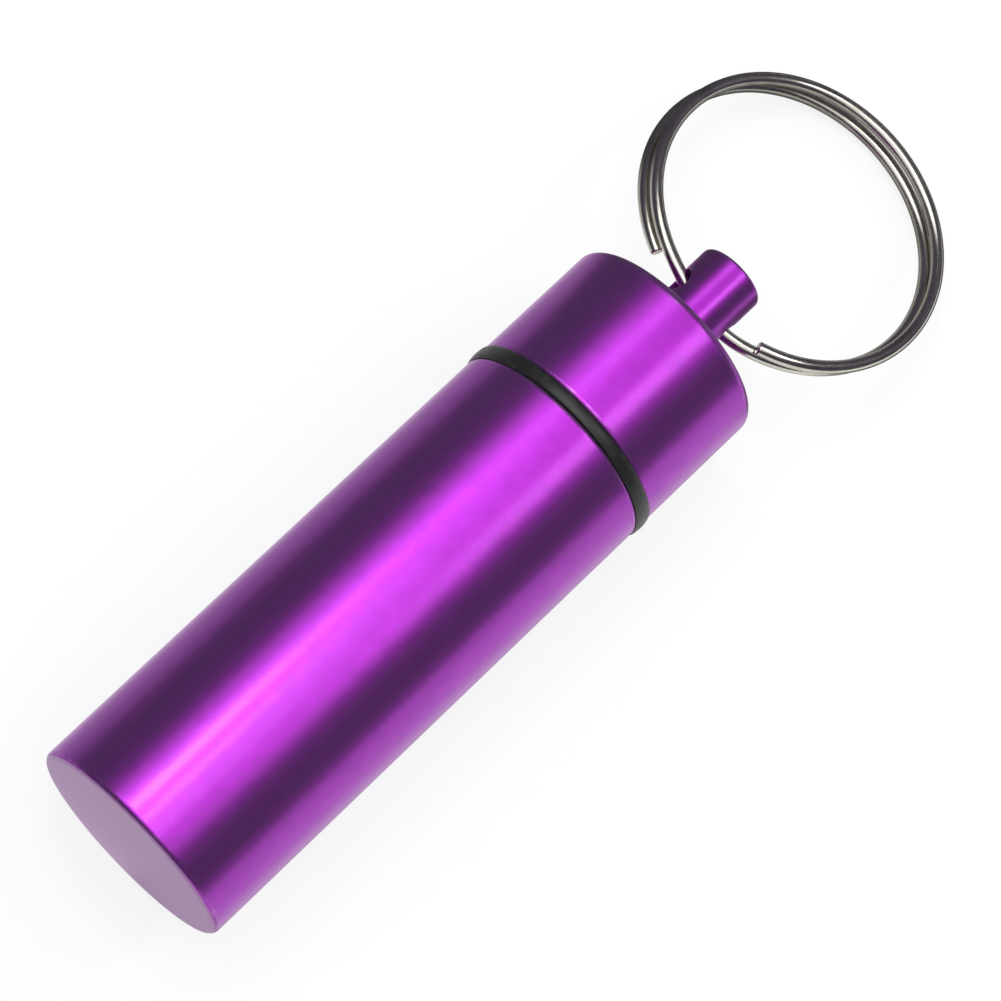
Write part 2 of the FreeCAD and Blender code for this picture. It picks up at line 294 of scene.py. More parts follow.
def helical_ridge(foot_radius, crest_radius, foot_half, crest_half, start_x, end_x, phase_x, sizes):
    """Trapezoid section carried along a helix: turn = 2 pi (x - phase) / pitch.

    At both ends the crest sinks into the foot over the run-out, by a smooth step.
    """
    steps = int(ROUND_STEPS * (end_x - start_x) / sizes.pitch / 2)
    middle = along(start_x, end_x, steps)
    turn = 2 * math.pi * (middle - phase_x) / sizes.pitch
    from_end = np.minimum(turn - turn[0], turn[-1] - turn) / sizes.runout
    rise = smooth_step(from_end)[:, None]
    foot = np.array([1, 0, 0, 1, 1])[None]
    half = np.array([-1, -1, 1, 1, -1])[None]
    crest_radii = foot_radius + (crest_radius - foot_radius) * rise
    crest_halves = foot_half + (crest_half - foot_half) * rise
    radius = np.where(foot == 1, foot_radius, crest_radii)
    x = middle[:, None] + half * np.where(foot == 1, foot_half, crest_halves)
    points = round_about_axis(x, radius, turn[:, None])
    uv = np.stack(np.broadcast_arrays(half * 1.0, turn[:, None] / (2 * math.pi)), axis=-1)
    return {"points": points, "uv": uv, "wear": np.zeros(points.shape[:2])}


def smooth_step(share):
    share = np.clip(share, 0, 1)
    return share * share * (3 - 2 * share)


def build_piece(name, surfaces, materials):
    """Mesh object from grids of points: each grid's neighbours make quads, and touching grids are welded."""
    points, quads, uvs, wears, slots = [], [], [], [], []
    first = 0
    for surface in surfaces:
        rows, columns = surface["points"].shape[:2]
        index = first + np.arange(rows * columns).reshape(rows, columns)
        corners = (index[:-1, :-1], index[1:, :-1], index[1:, 1:], index[:-1, 1:])
        quads.append(np.stack([corner.ravel() for corner in corners], axis=1))
        slots.append(np.full((rows - 1) * (columns - 1), surface.get("slot", 0)))
        points.append(surface["points"].reshape(-1, 3))
        uvs.append(surface["uv"].reshape(-1, 2))
        wears.append(surface["wear"].reshape(-1))
        first += rows * columns
    quads = np.concatenate(quads)
    mesh = bpy.data.meshes.new(name)
    mesh.from_pydata(np.concatenate(points).tolist(), [], quads.tolist())
    uv_layer = mesh.uv_layers.new(name=TURNED_UV)
    uv_layer.data.foreach_set("uv", np.concatenate(uvs)[quads.ravel()].astype(np.float32).ravel())
    wear_layer = mesh.attributes.new(WEAR, "FLOAT", "POINT")
    wear_layer.data.foreach_set("value", np.concatenate(wears).astype(np.float32))
    mesh.polygons.foreach_set("material_index", np.concatenate(slots).astype(np.int32))
    welded = bmesh.new()
    welded.from_mesh(mesh)
    bmesh.ops.remove_doubles(welded, verts=welded.verts, dist=WELD)
    bmesh.ops.recalc_face_normals(welded, faces=welded.faces)
    welded.to_mesh(mesh)
    welded.free()
    mesh.polygons.foreach_set("use_smooth", np.ones(len(mesh.polygons), bool))
    mesh.set_sharp_from_angle(angle=SHARP_ANGLE)
    for material in materials:
        mesh.materials.append(material)
    piece = bpy.data.objects.new(name, mesh)
    bpy.context.scene.collection.objects.link(piece)
    return piece


def dress(piece, node, body):
    """The piece stands for a node, which is hidden, and moves with its body."""
    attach(piece, body)
    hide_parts(node)


def new_node(tree, kind, values=None, **settings):
    """Shader node with its settings, and its inputs set or linked by name or number."""
    node = tree.nodes.new(kind)
    for name, value in settings.items():
        setattr(node, name, value)
    for name, value in (values or {}).items():
        if isinstance(value, bpy.types.NodeSocket):
            tree.links.new(value, node.inputs[name])
        else:
            node.inputs[name].default_value = value
    return node


def mixed_colour(tree, share, first, second):
    """Colour between two, by a share from 0 to 1.

    The node's colour sockets share their names with others, so they go by number.
    """
    node = new_node(tree, "ShaderNodeMix", {0: share, 6: first, 7: second}, data_type="RGBA")
    return node.outputs[2]


def ranged(tree, value, low, high, to_low, to_high):
    """Value moved from one range to another, and held inside it."""
    values = {"Value": value, "From Min": low, "From Max": high, "To Min": to_low, "To Max": to_high}
    return new_node(tree, "ShaderNodeMapRange", values).outputs["Result"]


def noise(tree, coordinates, scale, detail=2.0, roughness=0.5):
    """Noise from 0 to 1 with scale features to a unit."""
    values = {"Vector": coordinates, "Scale": scale, "Detail": detail, "Roughness": roughness}
    return new_node(tree, "ShaderNodeTexNoise", values).outputs["Fac"]


def stretched(tree, coordinates, scale):
    """Coordinates scaled by their own factor along each axis."""
    return new_node(tree, "ShaderNodeMapping", {"Vector": coordinates, "Scale": scale}).outputs["Vector"]


def multiplied(tree, first, second):
    return new_node(tree, "ShaderNodeMath", {0: first, 1: second}, operation="MULTIPLY").outputs[0]


def opaque(rgb):
    return (*rgb, 1.0)


def empty_material(name):
    material = bpy.data.materials.new(name)
    material.use_nodes = True
    material.node_tree.nodes.clear()
    return material


def finish_material(tree, values):
    shader = new_node(tree, "ShaderNodeBsdfPrincipled", values)
    new_node(tree, "ShaderNodeOutputMaterial", {"Surface": shader.outputs["BSDF"]})


def turning_marks(tree, place):
    """Marks of the lathe tool: noise over the distances along the axis and from it, the same all round."""
    across = stretched(tree, place, (0, 1, 1))
    from_axis = new_node(tree, "ShaderNodeVectorMath", {0: across}, operation="LENGTH").outputs["Value"]
    along_axis = new_node(tree, "ShaderNodeSeparateXYZ", {"Vector": place}).outputs["X"]
    profile = new_node(tree, "ShaderNodeCombineXYZ", {"X": along_axis, "Y": from_axis}).outputs["Vector"]
    return noise(tree, profile, scale=5000.0, detail=4.0, roughness=0.7)


def turned_purple(colours):
    """Turned aluminium under glossy purple anodising.

    The lathe's marks vary its roughness and bump, the dye is a little uneven, and the edges are rubbed paler.
    """
    material = empty_material("turned_purple")
    tree = material.node_tree
    place = new_node(tree, "ShaderNodeTexCoord").outputs["Object"]
    rings = turning_marks(tree, place)
    swells = noise(tree, place, scale=260.0, detail=3.0)
    dye = noise(tree, place, scale=1100.0, detail=4.0, roughness=0.6)
    rub = noise(tree, place, scale=900.0, detail=5.0, roughness=0.7)
    worn = new_node(tree, "ShaderNodeAttribute", attribute_name=WEAR).outputs["Fac"]
    rubbed = multiplied(tree, worn, ranged(tree, rub, 0.46, 0.78, 0.0, 0.4))
    dyed = mixed_colour(
        tree, ranged(tree, dye, 0.3, 0.7, 0.0, 1.0), opaque(colours.purple), opaque(colours.deep_purple)
    )
    waves = new_node(
        tree, "ShaderNodeBump", {"Height": swells, "Strength": 0.5, "Distance": 0.06 * MILLIMETRE}
    ).outputs["Normal"]
    bump = new_node(
        tree,
        "ShaderNodeBump",
        {"Height": rings, "Strength": 0.25, "Distance": 0.02 * MILLIMETRE, "Normal": waves},
    ).outputs["Normal"]
    tangent = new_node(
        tree, "ShaderNodeTangent", direction_type="UV_MAP", uv_map=TURNED_UV
    ).outputs["Tangent"]
    finish_material(tree, {
        "Base Color": mixed_colour(tree, rubbed, dyed, opaque(colours.worn)),
        "Metallic": 1.0,
        "Roughness": ranged(tree, rings, 0.25, 0.75, 0.32, 0.37),
        "Anisotropic": 0.2,
        "Tangent": tangent,
        "Normal": bump,
        "Coat Weight": 0.4,
        "Coat Roughness": 0.17,
        "Coat IOR": 1.5,
        "Sheen Weight": 0.05,
        "Sheen Roughness": 1.0,
        "Specular Tint": (0.97, 0.82, 0.97, 1.0),
    })
    return material


def faced_base(colours):
    """Faced end of the container: rings about the axis, a paler and duller skin, and a few handling marks."""
    material = empty_material("faced_base")
    tree = material.node_tree
    place = new_node(tree, "ShaderNodeTexCoord").outputs["Object"]
    rings = turning_marks(tree, place)
    marks = noise(tree, place, scale=900.0, detail=5.0, roughness=0.7)
    pale = multiplied(
        tree, ranged(tree, marks, 0.3, 0.7, 0.42, 0.72), ranged(tree, rings, 0.3, 0.7, 0.35, 0.85)
    )
    bump = new_node(
        tree, "ShaderNodeBump", {"Height": rings, "Strength": 0.3, "Distance": 0.02 * MILLIMETRE}
    ).outputs["Normal"]
    finish_material(tree, {
        "Base Color": mixed_colour(tree, pale, opaque(colours.faced), opaque(colours.worn)),
        "Metallic": 1.0,
        "Roughness": ranged(tree, rings, 0.3, 0.7, 0.4, 0.52),
        "Normal": bump,
        "Coat Weight": 0.6,
        "Coat Roughness": 0.3,
        "Coat IOR": 1.5,
        "Sheen Weight": 0.12,
        "Sheen Roughness": 0.8,
    })
    return material


def black_rubber(colours):
    """Black rubber with a fine grain and a little dust, which dulls it; the dust's greenish tint is partly a
    painted sheen.
    """
    material = empty_material("black_rubber")
    tree = material.node_tree
    place = new_node(tree, "ShaderNodeTexCoord").outputs["Object"]
    grain = noise(tree, place, scale=9000.0, detail=3.0, roughness=0.7)
    dust = noise(tree, place, scale=1700.0, detail=5.0, roughness=0.75)
    bump = new_node(
        tree, "ShaderNodeBump", {"Height": grain, "Strength": 0.25, "Distance": 0.02 * MILLIMETRE}
    ).outputs["Normal"]
    finish_material(tree, {
        # dust patches in a greenish tint that is partly a painted sheen
        "Base Color": mixed_colour(
            tree,
            ranged(tree, dust, 0.55, 0.8, 0.0, 0.7),
            opaque(colours.rubber),
            opaque(colours.rubber_dust_and_sheen),
        ),
        "Roughness": ranged(tree, dust, 0.35, 0.7, 0.26, 0.5),
        "Specular IOR Level": 0.3,
        "Normal": bump,
    })
    return material


def plated_wire(colours):
    """Bright plated wire with drawing streaks along it and duller patches."""
    material = empty_material("plated_wire")
    tree = material.node_tree
    wire_map = new_node(tree, "ShaderNodeUVMap", uv_map=TURNED_UV).outputs["UV"]
    place = new_node(tree, "ShaderNodeTexCoord").outputs["Object"]
    streaks = noise(tree, stretched(tree, wire_map, (9, 0.35, 1)), scale=1.0, detail=3.0, roughness=0.6)
    patches = noise(tree, place, scale=420.0, detail=4.0, roughness=0.65)
    bump = new_node(
        tree, "ShaderNodeBump", {"Height": streaks, "Strength": 0.12, "Distance": 0.01 * MILLIMETRE}
    ).outputs["Normal"]
    finish_material(tree, {
        "Base Color": mixed_colour(
            tree,
            ranged(tree, patches, 0.45, 0.75, 0.0, 0.8),
            opaque(colours.steel),
            opaque(colours.steel_shade),
        ),
        "Metallic": 1.0,
        "Roughness": ranged(tree, streaks, 0.25, 0.75, 0.13, 0.23),
        "Normal": bump,
    })
    return material


def axis_stations(turned):
    """Distances along the axis that the pieces share."""
    return {
        "shoulder": seal_low.x - turned.seal_clearance,
        "seat_end": cap_low.x - turned.seal_clearance,
        "rim": cap_low.x,
        "cap_top": cap_low.x + turned.cap_height,
        "ceiling": cap_low.x + turned.cap_height - turned.cap_top_wall,
        "neck_end": container_high.x,
        "post_top": cap_high.x,
    }


def container_surfaces(turned, thread):
    """The container's outline turned about the axis, its faced base apart, and a helical ridge as thread."""
    at = axis_stations(turned)
    outline, wear = rounded_outline([
        (0, turned.body_radius - 2 * turned.base_edge, 0),
        (0, turned.body_radius, turned.base_edge),
        (at["shoulder"], turned.body_radius, turned.shoulder_edge),
        (at["shoulder"], turned.seat_radius, 0),
        (at["seat_end"], turned.seat_radius, turned.inner_edge),
        (at["seat_end"], thread.neck_root, 0),
        (at["neck_end"] - thread.lead, thread.neck_root, turned.inner_edge),
        (at["neck_end"], thread.neck_root - thread.lead, turned.inner_edge),
        (at["neck_end"], turned.bore_radius, turned.inner_edge),
        (turned.floor_thickness, turned.bore_radius, turned.floor_corner),
        (turned.floor_thickness, 0, 0),
    ])
    faced_end = 2 + ARC_STEPS // 2  # half way round the base's rounded edge
    face_radius = along(0, turned.body_radius - 2 * turned.base_edge, FACE_STEPS)
    face = np.stack([np.zeros_like(face_radius), face_radius], axis=1)
    face = np.concatenate([face, outline[1:faced_end + 1]])
    base = revolved(face, np.zeros(len(face)))
    base["slot"] = 1
    crest_half = thread.crest / 2
    foot_half = crest_half + (thread.depth + thread.bite) * math.tan(thread.flank)
    ridge = helical_ridge(
        thread.neck_root - thread.bite,
        thread.neck_root + thread.depth,
        foot_half,
        crest_half,
        at["seat_end"] + thread.relief + foot_half,
        at["neck_end"] - thread.lead - foot_half,
        at["shoulder"] + thread.pitch / 4,
        thread,
    )
    return [base, revolved(outline[faced_end:], wear[faced_end:]), ridge]


def seal_surfaces(turned):
    """The squeezed seal: a flat section with a round inside, and outside a lip that spreads over both edges.

    With s from 0 where the lip starts to spread to 1 at the body's radius, the seal's half width grows by
    flare x s to the fourth power. Past that the lip is half an ellipse. Its bulge and its flares grow
    from the top to the sides by the square of the cosine of the turn from +Y.
    """
    half = (seal_high.x - seal_low.x) / 2
    middle = (seal_high.x + seal_low.x) / 2
    turn = along(0, 2 * math.pi, ROUND_STEPS)[None]
    side = np.cos(turn) ** 2
    bulge = turned.lip_top + (turned.lip_side - turned.lip_top) * side
    rim_flare = turned.flare_side * side
    shoulder_flare = turned.flare_top + (turned.flare_side - turned.flare_top) * side
    rise = along(0, 1, 2 * ARC_STEPS)[:, None]
    swell_radius = turned.body_radius - turned.lip_root * (1 - rise) + 0 * turn
    rim_half = half + rim_flare * rise ** 4
    shoulder_half = half + shoulder_flare * rise ** 4
    swing = along(math.pi / 2, -math.pi / 2, 2 * ARC_STEPS)[:, None]
    lip_radius = turned.body_radius + bulge * np.cos(swing)
    lip_half = (half + np.where(swing > 0, rim_flare, shoulder_flare)) * np.sin(swing)
    inner_centre = seal_high.y - turned.seal_width + half
    inner_radius = inner_centre - half * np.cos(swing[::-1]) + 0 * turn
    inner_half = half * np.sin(swing[::-1]) + 0 * turn
    halves = np.concatenate([inner_half, rim_half, lip_half, -shoulder_half[::-1], inner_half[:1]])
    radii = np.concatenate([inner_radius, swell_radius, lip_radius, swell_radius[::-1], inner_radius[:1]])
    points = round_about_axis(middle + halves, radii, turn)
    share = np.linspace(0, 1, len(halves))[:, None]
    uv = np.stack(np.broadcast_arrays(share, turn / (2 * math.pi)), axis=-1)
    return [{"points": points, "uv": uv, "wear": np.zeros(points.shape[:2])}]


def pierced_half(side, turned, low_x, high_x):
    """Half of the post's round wall with a cross hole, as rays from the hole's edge to the half's border.

    A ray at a border point runs straight in (x, arc) from the rounded mouth to that point. The mouth
    follows a parabola from the wall to the hole, whose middle control point is the sharp edge. The half
    is made with a level hole and then turned about the axis.
    """
    radius = turned.post_radius
    quarter = radius * math.pi / 2
    round_half = along(-quarter, quarter, ROUND_STEPS // 2)
    lengthwise = along(low_x, high_x, POST_STEPS)
    border_x = np.concatenate([
        np.full(len(round_half) - 1, high_x),
        lengthwise[:0:-1],
        np.full(len(round_half) - 1, low_x),
        lengthwise,
    ])
    border_arc = np.concatenate([
        round_half[:-1],
        np.full(len(lengthwise) - 1, quarter),
        round_half[:0:-1],
        np.full(len(lengthwise), -quarter),
    ])
    ray = np.arctan2(border_arc, border_x - hole_place.x)
    mouth = turned.hole_radius + turned.hole_edge
    mouth_x = hole_place.x + mouth * np.cos(ray)
    mouth_arc = radius * np.arcsin(mouth * np.sin(ray) / radius)
    share = along(1, 0, WALL_STEPS)[:, None]
    wall_x = mouth_x + (border_x - mouth_x) * share
    wall_turn = (mouth_arc + (border_arc - mouth_arc) * share) / radius
    wall = np.stack([wall_x, side * radius * np.cos(wall_turn), radius * np.sin(wall_turn)], axis=-1)

    def wall_point(from_axis):
        z = from_axis * np.sin(ray)
        y = side * np.sqrt(radius ** 2 - z ** 2)
        return np.stack([hole_place.x + from_axis * np.cos(ray), y, z], axis=-1)

    sharp = wall_point(turned.hole_radius)
    inside = sharp - np.array([0, side * turned.hole_edge, 0])
    bend = along(0, 1, ARC_STEPS)[1:, None, None]
    rim = (1 - bend) ** 2 * wall[-1] + 2 * bend * (1 - bend) * sharp + bend ** 2 * inside
    points = np.concatenate([wall, rim])
    wear = np.concatenate([np.zeros(wall.shape[:2]), np.ones(rim.shape[:2])])
    turn = np.arctan2(points[..., 2], points[..., 1])
    uv = np.stack([points[..., 0] / MILLIMETRE, turn / (2 * math.pi)], axis=-1)
    points = points @ np.array(Matrix.Rotation(hole_turn, 3, "X")).T
    return {"points": points, "uv": uv, "wear": wear}


def cap_surfaces(turned, thread):
    """The cap's outline turned about the axis, the pierced post and its end, and the inner thread."""
    at = axis_stations(turned)
    foot_x = at["cap_top"] + turned.post_foot + SUPPORT
    neck_x = at["post_top"] - turned.post_edge - SUPPORT
    skirt = rounded_outline([
        (at["ceiling"], 0, 0),
        (at["ceiling"], thread.cap_root, turned.inner_edge),
        (at["rim"], thread.cap_root, turned.inner_edge),
        (at["rim"], turned.body_radius, turned.rim_edge),
        (at["cap_top"], turned.body_radius, turned.cap_shoulder),
        (at["cap_top"], turned.post_radius, turned.post_foot),
        (foot_x, turned.post_radius, 0),
    ])
    end = rounded_outline([
        (neck_x, turned.post_radius, 0),
        (at["post_top"], turned.post_radius, turned.post_edge),
        (at["post_top"], 0, 0),
    ])
    halves = [pierced_half(side, turned, foot_x, neck_x) for side in (1, -1)]
    mouths = np.stack([half["points"][-1] for half in halves])
    share = along(0, 1, HOLE_STEPS)[:, None, None]
    hole = {"points": mouths[0] + (mouths[1] - mouths[0]) * share}
    hole["uv"] = np.stack([hole["points"][..., 1] / MILLIMETRE, hole["points"][..., 2] / MILLIMETRE], axis=-1)
    hole["wear"] = np.zeros(hole["points"].shape[:2])
    flank = math.tan(thread.flank)
    open_half = thread.crest / 2 + thread.clearance / math.cos(thread.flank)
    crest_half = thread.pitch / 2 - open_half - (thread.neck_root + thread.depth - thread.cap_crest) * flank
    foot_half = crest_half + (thread.cap_root + thread.bite - thread.cap_crest) * flank
    ridge = helical_ridge(
        thread.cap_root + thread.bite,
        thread.cap_crest,
        foot_half,
        crest_half,
        at["rim"] + thread.lead + foot_half,
        at["neck_end"] - foot_half,
        at["shoulder"] + thread.pitch * 3 / 4,
        thread,
    )
    return [revolved(*skirt, hole_turn), *halves, hole, revolved(*end, hole_turn), ridge]


def ring_surfaces(sizes):
    """Round section carried along the wire.

    The wire's middle is at pull + radius x (1 - cos a) and radius x sin a from the hole, with the angle a
    running twice round. Its height is half the pitch below, then above, the ring's plane, with a smooth
    step at the hole. The pitch widens from the post to the far side by (1 - cos a) / 2, and a little more
    by sin a, and the lower turn lies a little towards +Y. At both ends the section shrinks over a quarter
    circle and closes flat. The whole leans about the hole and is a little askew.
    """
    radius = (sizes.diameter - sizes.wire) / 2
    swing = along(sizes.end, 4 * math.pi - sizes.end, RING_STEPS)
    climb = smooth_step((swing - 2 * math.pi + sizes.climb) / (2 * sizes.climb))
    pitch = sizes.near_pitch + (sizes.far_pitch - sizes.near_pitch) * (1 - np.cos(swing)) / 2
    pitch += sizes.side_pitch * np.sin(swing)
    path = np.stack([
        sizes.pull + radius * (1 - np.cos(swing)),
        radius * np.sin(swing) - sizes.shift * (climb - 0.5),
        pitch * (climb - 0.5),
    ], axis=-1)
    forward = np.gradient(path, axis=0)
    forward /= np.linalg.norm(forward, axis=1, keepdims=True)
    outward = np.stack([-np.cos(swing), np.sin(swing), np.zeros_like(swing)], axis=-1)
    upward = np.cross(forward, outward)
    quarter = along(math.pi / 2, 0, ARC_STEPS)
    end_radius = np.append(0, sizes.wire / 2 - sizes.end_edge * (1 - np.cos(quarter)))
    end_reach = sizes.end_edge * np.append(1, np.sin(quarter))
    ends = len(end_radius)
    rows = np.concatenate([np.zeros(ends, int), np.arange(len(swing)), np.full(ends, len(swing) - 1)])
    reach = np.concatenate([-end_reach, np.zeros(len(swing)), end_reach[::-1]])
    section = np.concatenate([end_radius, np.full(len(swing), sizes.wire / 2), end_radius[::-1]])
    middle = path[rows] + forward[rows] * reach[:, None]
    round_wire = along(0, 2 * math.pi, WIRE_STEPS)[None, :, None]
    offset = outward[rows][:, None] * np.cos(round_wire) + upward[rows][:, None] * np.sin(round_wire)
    points = middle[:, None] + offset * section[:, None, None]
    slack = Matrix.Rotation(sizes.askew, 3, "Z") @ Matrix.Rotation(sizes.lean, 3, "Y")
    points = points @ np.array(slack).T + np.array(hole_place)
    travelled = np.append(0, np.cumsum(np.linalg.norm(np.diff(middle, axis=0), axis=1)))[:, None]
    uv = np.stack(np.broadcast_arrays(round_wire[..., 0] / (2 * math.pi), travelled / MILLIMETRE), axis=-1)
    return [{"points": points, "uv": uv, "wear": np.zeros(points.shape[:2])}]


class FOB_OT_container(bpy.types.Operator):
    """Make the anodised container with its threaded neck"""

    bl_idname = "fob.container"
    bl_label = "Container"

    def execute(self, context):
        scene = context.scene
        materials = [turned_purple(scene.fob_colours), faced_base(scene.fob_colours)]
        surfaces = container_surfaces(scene.fob_turned, scene.fob_thread)
        piece = build_piece("turned_container", surfaces, materials)
        dress(piece, "container", "container")
        return {"FINISHED"}


class FOB_OT_seal(bpy.types.Operator):
    """Make the squeezed rubber seal"""

    bl_idname = "fob.seal"
    bl_label = "Seal"

    def execute(self, context):
        scene = context.scene
        surfaces = seal_surfaces(scene.fob_turned)
        piece = build_piece("squeezed_seal", surfaces, [black_rubber(scene.fob_colours)])
        dress(piece, "o_ring", "seal")
        return {"FINISHED"}


class FOB_OT_cap(bpy.types.Operator):
    """Make the anodised cap with its pierced post"""

    bl_idname = "fob.cap"
    bl_label = "Cap"

    def execute(self, context):
        scene = context.scene
        surfaces = cap_surfaces(scene.fob_turned, scene.fob_thread)
        piece = build_piece("turned_cap", surfaces, [bpy.data.materials["turned_purple"]])
        dress(piece, "cap", "cap")
        return {"FINISHED"}


class FOB_OT_split_ring(bpy.types.Operator):
    """Make the split ring, one wire wound twice"""

    bl_idname = "fob.split_ring"
    bl_label = "Split ring"

    def execute(self, context):
        scene = context.scene
        surfaces = ring_surfaces(scene.fob_ring)
        piece = build_piece("wound_ring", surfaces, [plated_wire(scene.fob_colours)])
        dress(piece, "split_ring", "key_ring")
        return {"FINISHED"}


def seen_share(tree):
    """1 for rays that show the background, straight, mirrored or through glass, and 0 for the rest."""
    path = new_node(tree, "ShaderNodeLightPath").outputs
    mirrored = new_node(
        tree,
        "ShaderNodeMath",
        {0: path["Is Glossy Ray"], 1: path["Is Transmission Ray"]},
        operation="MAXIMUM",
    )
    return new_node(
        tree, "ShaderNodeMath", {0: path["Is Camera Ray"], 1: mirrored.outputs[0]}, operation="MAXIMUM"
    ).outputs[0]


def paper_floor(colours):
    """Pale paper that keeps part of the fob's shadow and is otherwise near white."""
    material = empty_material("paper_floor")
    tree = material.node_tree
    place = new_node(tree, "ShaderNodeTexCoord").outputs["Object"]
    fibres = noise(tree, place, scale=900.0, detail=3.0)
    shaded = [FIBRE_SHADE * value for value in colours.paper]
    tone = mixed_colour(tree, fibres, opaque(colours.paper), opaque(shaded))
    matt = new_node(tree, "ShaderNodeBsdfDiffuse", {"Color": tone})
    white = new_node(tree, "ShaderNodeEmission", {"Color": (1, 1, 1, 1), "Strength": 1.0})
    share = multiplied(tree, seen_share(tree), FLOOR_WHITE)
    surface = new_node(
        tree, "ShaderNodeMixShader", {0: share, 1: matt.outputs["BSDF"], 2: white.outputs["Emission"]}
    )
    new_node(tree, "ShaderNodeOutputMaterial", {"Surface": surface.outputs["Shader"]})
    return material


def stage_mesh(name, points, quads, material):
    mesh = bpy.data.meshes.new(name)
    mesh.from_pydata(points.tolist(), [], quads.tolist())
    mesh.materials.append(material)
    thing = bpy.data.objects.new(name, mesh)
    bpy.context.scene.collection.objects.link(thing)
    return thing


def make_floor(colours):
    """Flat square under the fob."""
    corners = np.array([[-1, -1], [1, -1], [1, 1], [-1, 1]]) * FLOOR_HALF
    points = np.insert(corners, 2, cad_box[0].z, axis=1)
    stage_mesh("floor", points, np.array([[0, 1, 2, 3]]), paper_floor(colours))


def mirrored_only(card):
    """Only mirrors see the card: it throws no light and no shadow."""
    card.visible_camera = False
    card.visible_diffuse = False
    card.visible_transmission = False
    card.visible_shadow = False


def glowing(name, tint, strength_attribute=None):
    """Card of an even tint, or with its strength from an attribute."""
    material = empty_material(name)
    tree = material.node_tree
    glow = new_node(tree, "ShaderNodeEmission", {"Color": opaque(tint), "Strength": 1.0})
    if strength_attribute:
        level = new_node(tree, "ShaderNodeAttribute", attribute_name=strength_attribute).outputs["Fac"]
        tree.links.new(level, glow.inputs["Strength"])
    new_node(tree, "ShaderNodeOutputMaterial", {"Surface": glow.outputs["Emission"]})
    return material


def make_surround(colours):
    """Dark room round the fob: a slanted tube open at the top, which only mirrors see.

    It stands near on the +Y side and far on the other. Round the tube its foot and its top rise
    from the near side to the far one by (1 - sin a) / 2.
    """
    middle_x = 30 * MILLIMETRE
    middle_y = -76 * MILLIMETRE
    radius = 126 * MILLIMETRE
    foot_rise = 18 * MILLIMETRE
    near_top = 48 * MILLIMETRE
    top_rise = 242 * MILLIMETRE
    swing = along(0, 2 * math.pi, SURROUND_STEPS)
    far = (1 - np.sin(swing)) / 2
    foot = cad_box[0].z + foot_rise * far
    top = near_top + top_rise * far
    x = middle_x + radius * np.cos(swing)
    y = middle_y + radius * np.sin(swing)
    points = np.concatenate([np.stack([x, y, foot], axis=1), np.stack([x, y, top], axis=1)])
    low = np.arange(len(swing) - 1)
    quads = np.stack([low, low + 1, low + 1 + len(swing), low + len(swing)], axis=1)
    mirrored_only(stage_mesh("surround", points, quads, glowing("dark_surround", colours.surround)))


def fade(distance, start, width):
    """0 up to the start, 1 from a width past it, and a smooth step between."""
    return smooth_step((distance - start) / width)


def make_apron():
    """Grey card on the floor, which only mirrors see.

    Its glow paints the floor's shade as mirrors see it: painted shade on the +Y side, a painted shadow by the
    body, painted shade before the base, dark painted shade under the ring and less so inside it.
    Its places are in millimetres.
    """
    cell = 2
    length_span = (-90.0, 111.0)
    width_span = (-20.0, 59.0)
    ring_past_post = 6.5
    lift = 0.02 * MILLIMETRE
    # Painted floor shade: levels before the base, under the ring and, less dark, inside it; drops for the +Y
    # side and for the body's shadow
    open_level, base_shade_level, under_ring_shade_level, loop_shade_level = 0.96, 0.6, 0.07, 0.42
    side_shade_drop, far_shade_drop, body_shadow_drop = 0.36, 0.3, 0.5
    ring_middle = cap_high.x / MILLIMETRE + ring_past_post
    x, y = np.meshgrid(np.arange(*length_span, cell), np.arange(*width_span, cell), indexing="ij")
    # painted shadow of the body on the floor along its -Y side
    body_shadow = fade(y, start=-12, width=5) * fade(-y, start=0, width=1)
    inside_ring = fade(-np.hypot(x - ring_middle, y), start=-9.5, width=3) * fade(-y, start=-6, width=5)
    # painted shade on the +Y side and painted shadow by the body, then painted shade before the base, under
    # the ring and inside it
    level = open_level - side_shade_drop * fade(y, start=8, width=6)
    level = level - far_shade_drop * fade(y, start=4, width=50) - body_shadow_drop * body_shadow
    level += (base_shade_level - level) * fade(-x, start=-2, width=4)
    level += (under_ring_shade_level - level) * fade(x, start=48, width=6)
    level += (loop_shade_level - level) * inside_ring
    height = np.full_like(x, cad_box[0].z + lift)
    points = np.stack([x * MILLIMETRE, y * MILLIMETRE, height], axis=-1)
    rows, columns = x.shape
    index = np.arange(rows * columns).reshape(rows, columns)
    corners = (index[:-1, :-1], index[1:, :-1], index[1:, 1:], index[:-1, 1:])
    quads = np.stack([corner.ravel() for corner in corners], axis=1)
    apron = stage_mesh("apron", points.reshape(-1, 3), quads, glowing("painted_floor_shade", (1, 1, 1), GLOW))
    levels = apron.data.attributes.new(GLOW, "FLOAT", "POINT")
    levels.data.foreach_set("value", level.ravel().astype(np.float32))
    mirrored_only(apron)


def facing_place(leans, swings, distance):
    """Place of a rectangle that faces the fob's middle, with its width and height.

    It reaches over angles in degrees from the vertical: leans towards +X and swings towards +Y.
    """
    target = (cad_box[0] + cad_box[1]) / 2
    lean = math.radians(sum(leans) / 2)
    swing = math.radians(sum(swings) / 2)
    back = Vector((math.sin(lean), math.cos(lean) * math.sin(swing), math.cos(lean) * math.cos(swing)))
    right = (Vector((1, 0, 0)) - back * back.x).normalized()
    rotation = Matrix((right, back.cross(right), back)).transposed().to_4x4()
    width = distance * math.radians(leans[1] - leans[0])
    height = distance * math.radians(swings[1] - swings[0])
    return Matrix.Translation(target + back * distance) @ rotation, width, height


